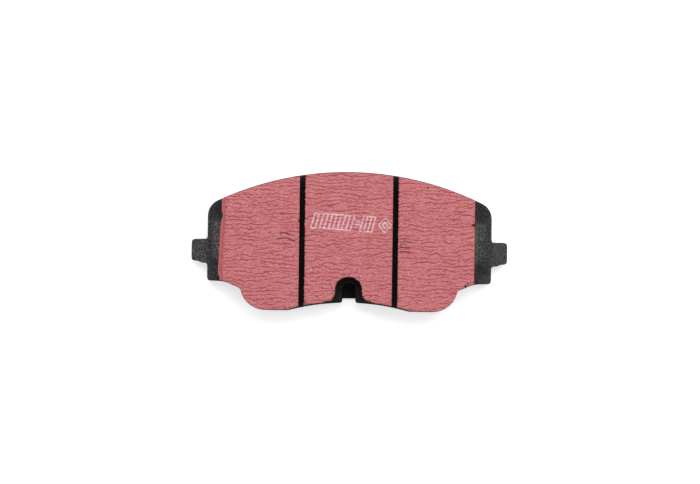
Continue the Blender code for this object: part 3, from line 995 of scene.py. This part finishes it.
def dusty(x, y):
    """Compound dust on the paint beside both ends of the lining, 0 to about 1."""
    out = np.abs(x) - BLOCK_END
    across = np.exp(-(np.maximum(out - 1.0, 0) / 3.4) ** 2)
    up = ease(y, -12.5, -5.5) * (1 - ease(y, 7.0, 13.5))
    uneven = np.clip(0.80 + 0.7 * noise(x / 1.3, y / 1.6, 141), 0, 1)
    return across * up * uneven * np.where(x < 0, 1.12, 0.74)


def hazy(x, y):
    """Where handling has rubbed the paint pale in patches: the left ear and the corner below it."""
    ear = 0.62 * ease(-x, 69.5, 74.0)
    corner = 0.28 * ease(-x, 64.0, 67.0) * ease(-y, 11.5, 14.0)
    return np.maximum(ear, corner) * np.clip(0.85 + 0.7 * noise(x / 1.3, y / 1.3, 143), 0, 1)


def filmed(x, y):
    """Where handling has left a fine pale film: the right ear and the corner below it."""
    ear = 0.45 * ease(x, 69.0, 73.5)
    corner = 0.30 * ease(x + y * 0.9, 47.0, 48.6) * ease(-y, 15.0, 17.0)
    return np.maximum(ear, corner) * np.clip(0.95 + 0.3 * noise(x / 2.0, y / 2.0, 145), 0, 1)


def peel(x, y):
    """The plate's painted top, with an orange-peel skin where it can be seen."""
    return PLATE_TOP + 0.018 * noise(x / 1.1, y / 1.1, 151) * (np.abs(x) > BLOCK_END - 2)


def make_plate(material):
    """The stamped backing plate with its key holes and blind pin holes."""
    loops = section("backing_plate", PLATE_TOP - 1.2)
    low_holes = section("backing_plate", PLATE_BOTTOM + 1.0)[1:]
    pin_holes = [hole for hole in low_holes if np.ptp(hole[:, 0]) < WIDEST_PIN_HOLE]
    pin_hole_top = high_of("shim_pin_left") + CAD_GAP
    surface = Surface()
    edge = [(PLATE_BOTTOM + rise, inset) for rise, inset in PLATE_EDGE]
    bottoms, tops = walls(surface, loops, edge, stamped, [(PLATE_BOTTOM, 0), (PLATE_TOP, 0)])
    for hole in pin_holes:
        low, high = surface.wall(rings(hole, [(PLATE_BOTTOM, 0), (pin_hole_top, 0)]))
        surface.cap([high], flat(pin_hole_top), (1.0, 1.0), up=False)
        bottoms.append(low)
    surface.cap(tops, peel, (0.8, 0.8))
    surface.cap(bottoms, flat(PLATE_BOTTOM), COARSE, up=False)
    x, y, z = surface.points().T
    on_top = ease(z, PLATE_TOP - 1.0, PLATE_TOP - 0.2)
    # Painted shade: the plate's top is darkened around the notch, under the lining's arch, and its edge
    # highlight is left out there.
    notch_shade = (np.hypot(x, y - NOTCH_CENTRE_Y) < NOTCH_REACH) * on_top
    # The rounded top edge carries a painted highlight.
    rounded = ease(z, PLATE_TOP - 1.2, PLATE_TOP - 0.25) * (1 - ease(z, PLATE_TOP - 0.03, PLATE_TOP))
    values = {
        "dust": dusty(x, y) * on_top,
        "haze": hazy(x, y) * on_top,
        "film": filmed(x, y) * on_top,
        "edge": rounded * (1 - notch_shade),
        "notch_shade": notch_shade,
        "wall": 1 - on_top,
    }
    make_piece("plate_body", surface, material, ["backing_plate"], values)


# -------- shim and its pins

def wavy(x, y, level):
    """The slightly uneven rim of a shim layer."""
    return 0.03 * grit(x, y, level, 1.8, 161)


def make_sheet(name, node, levels, edge, material, relief=None, steps=COARSE):
    """One layer of the shim. edge is how far its rim is set in, and relief shapes its underside."""
    low_level, high_level = levels
    thick = high_level - low_level
    profile = [
        (low_level, edge + 0.06), (low_level + 0.12 * thick, edge + 0.01), (low_level + 0.5 * thick, edge),
        (low_level + 0.88 * thick, edge + 0.01), (high_level, edge + 0.05),
    ]
    loops = section(node, (low_of(node) + high_of(node)) / 2)
    surface = Surface()
    lows, highs = walls(surface, loops, profile, wavy, profile)
    surface.cap(highs, flat(high_level), COARSE)
    surface.cap(lows, relief or flat(low_level), steps, up=False)
    make_piece(name, surface, material, [node])


def pebbled(x, y):
    """The finely pebbled underside of the outer rubber."""
    return SHIM_BOTTOM + 0.015 * (1 + noise(x / 1.1, y / 1.1, 171))


def make_shim(rubber, steel, glue):
    """The four bonded layers of the noise shim, from the piston side up."""
    make_sheet("shim_outer_sheet", "shim_outer_rubber", (SHIM_BOTTOM, OUTER_TO_STEEL), 0.06,
               rubber, pebbled, (0.6, 0.6))
    make_sheet("shim_core_sheet", "shim_steel", (OUTER_TO_STEEL, STEEL_TO_INNER), 0.0,
               steel)
    make_sheet("shim_inner_sheet", "shim_inner_rubber", (STEEL_TO_INNER, INNER_TO_GLUE), 0.08,
               rubber)
    make_sheet("shim_glue_film", "shim_adhesive", (INNER_TO_GLUE, PLATE_BOTTOM), 0.18,
               glue)


PIN_SIDES = 48


def make_pin(side, material):
    """A flat-headed pin: a turned profile with a dimple and rings on its head."""
    node = "shim_pin_" + side
    low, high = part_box(node)
    centre = np.array([low.x + high.x, low.y + high.y]) / 2 / MM
    head = (high.x - low.x) / 2 / MM
    top = high_of(node)
    [shank_outline] = section(node, top - 1)
    shank = float(np.hypot(*(shank_outline - centre).T).mean())
    profile = [
        (0.30, 0.16), (0.62, 0.13), (0.86, 0.03), (1.3, 0.0), (1.36, 0.035), (1.9, 0.035), (1.96, 0.0),
        (head - 0.28, 0.0), (head - 0.1, 0.05), (head, 0.16), (head, 0.30), (shank + 0.15, 0.42),
        (shank, 0.6), (shank, 1.6), (shank, top - 0.35), (shank - 0.25, top),
    ]
    turns = np.arange(PIN_SIDES) * 2 * np.pi / PIN_SIDES
    circle = np.column_stack([np.cos(turns), np.sin(turns)])
    plans = [(centre + radius * circle, level) for radius, level in profile]
    circles = [np.column_stack([plan, np.full(PIN_SIDES, level)]) for plan, level in plans]
    surface = Surface()
    first, last = surface.wall(circles)
    surface.cap([first], flat(profile[0][1]), (0.2, 0.2), up=False)
    surface.cap([last], flat(top), (0.5, 0.5))
    make_piece("pin_" + side, surface, material, [node])


# -------- studio

FLOOR_HALF = 2500.0
FLOOR_DROP = 0.02
CONTACT = 1.0
CAMERA_PLACE = (0.2523, -0.2277, 708.4)
CAMERA_ROLL = 0.7767
CAMERA_LENS = 71.14
KEY_PLACE = (130.0, 540.0, 950.0)
KEY_SIZE = (1400.0, 640.0)
KEY_POWER = 8.6
SKY = 0.50
BACKDROP = 0.97
PAPER_GLOW = 0.52


def floor_material():
    """Pale matt paper, a little over-exposed. It's clear from below and to rays that start on it."""
    s = Shader("paper")
    colour = s.mix(s.noise(2.0, 3.0), (0.90, 0.90, 0.90, 1), (0.91, 0.91, 0.91, 1))
    material = s.finish(colour, 0.9, s.noise(1.0, 2.0), 0.01, specular=0.0)
    ray = s.nodes.new("ShaderNodeLightPath").outputs
    s.plug(s.principled.inputs["Emission Color"], (1, 1, 1, 1))
    s.plug(s.principled.inputs["Emission Strength"], s.calc("MULTIPLY", ray["Is Camera Ray"], PAPER_GLOW))
    clear = s.nodes.new("ShaderNodeBsdfTransparent")
    behind = s.nodes.new("ShaderNodeNewGeometry").outputs["Backfacing"]
    near = s.calc("LESS_THAN", ray["Ray Length"], CONTACT * MM)
    share = s.calc("MAXIMUM", behind, near)
    mix = s.nodes.new("ShaderNodeMixShader")
    s.links.new(share, mix.inputs["Fac"])
    s.links.new(s.principled.outputs["BSDF"], mix.inputs[1])
    s.links.new(clear.outputs["BSDF"], mix.inputs[2])
    s.links.new(mix.outputs["Shader"], s.nodes["Material Output"].inputs["Surface"])
    return material


def make_floor():
    """A plain pale floor under the pad."""
    half = FLOOR_HALF * MM
    level = (SHIM_BOTTOM - FLOOR_DROP) * MM
    mesh = bpy.data.meshes.new("floor")
    corners = [(-half, -half, level), (half, -half, level), (half, half, level), (-half, half, level)]
    mesh.from_pydata(corners, [], [(0, 1, 2, 3)])
    mesh.materials.append(floor_material())
    placed("floor", mesh)


def make_sky():
    """A soft white surround, which the camera sees as a pale backdrop."""
    world = bpy.data.worlds.new("studio")
    world.use_nodes = True
    nodes, links = world.node_tree.nodes, world.node_tree.links
    seen = nodes.new("ShaderNodeLightPath").outputs["Is Camera Ray"]
    strength = nodes.new("ShaderNodeMapRange")
    strength.inputs["To Min"].default_value = SKY
    strength.inputs["To Max"].default_value = BACKDROP
    links.new(seen, strength.inputs["Value"])
    nodes["Background"].inputs["Color"].default_value = (1, 1, 1, 1)
    links.new(strength.outputs["Result"], nodes["Background"].inputs["Strength"])
    bpy.context.scene.world = world


def make_softbox():
    """One large white light, high beyond the arched edge."""
    light = bpy.data.lights.new("softbox", "AREA")
    light.shape = "RECTANGLE"
    light.size, light.size_y = KEY_SIZE[0] * MM, KEY_SIZE[1] * MM
    light.energy = KEY_POWER
    lamp = placed("softbox", light)
    lamp.location = Vector(KEY_PLACE) * MM
    lamp.rotation_euler = (-lamp.location).to_track_quat("-Z", "Y").to_euler()


def make_camera():
    """The photograph's view: straight down, a hair off level."""
    camera = bpy.data.cameras.new("camera")
    camera.sensor_width = 36.0
    camera.lens = CAMERA_LENS
    camera.clip_start = 0.01
    camera.clip_end = 10.0
    holder = placed("camera", camera)
    holder.location = Vector(CAMERA_PLACE) * MM
    holder.rotation_euler = (0, 0, math.radians(CAMERA_ROLL))
    bpy.context.scene.camera = holder
    bpy.context.scene.view_settings.view_transform = "Standard"


# -------- build

def build():
    """Builds every piece around the frame, then the studio."""
    compound = compound_material(
        "friction_compound", (0.011, 0.011, 0.011, 1), (0.026, 0.025, 0.025, 1), 0.07)
    backing = compound_material(
        "underlayer_compound", (0.007, 0.007, 0.007, 1), (0.014, 0.013, 0.013, 1), 0.03)
    coating = coat_material()
    for name in ("left", "centre", "right"):
        make_block(name, compound)
    [plan] = section("friction_left", low_of("friction_left") + 1, COAT_WALL_STEP)
    make_coat("left", plan, coating)
    for name in ("centre", "right"):
        [plan] = section("break_in_coat_" + name, (BLOCK_TO_COAT + COAT_TOP) / 2, COAT_WALL_STEP)
        make_coat(name, plan, coating)
    make_underlayer(backing)
    make_bond(glue_material("bond_adhesive", (0.012, 0.011, 0.010, 1), (0.022, 0.018, 0.015, 1)))
    make_plate(paint_material())
    make_shim(
        rubber_material(),
        metal_material("shim_steel", (0.34, 0.34, 0.33, 1), (0.19, 0.18, 0.17, 1), (4, 4, 1)),
        glue_material("shim_adhesive", (0.004, 0.003, 0.003, 1), (0.008, 0.006, 0.005, 1)),
    )
    pin_steel = metal_material("pin_steel", (0.46, 0.45, 0.42, 1), (0.26, 0.25, 0.22, 1))
    make_pin("left", pin_steel)
    make_pin("right", pin_steel)
    make_floor()
    make_sky()
    make_softbox()
    make_camera()


build()
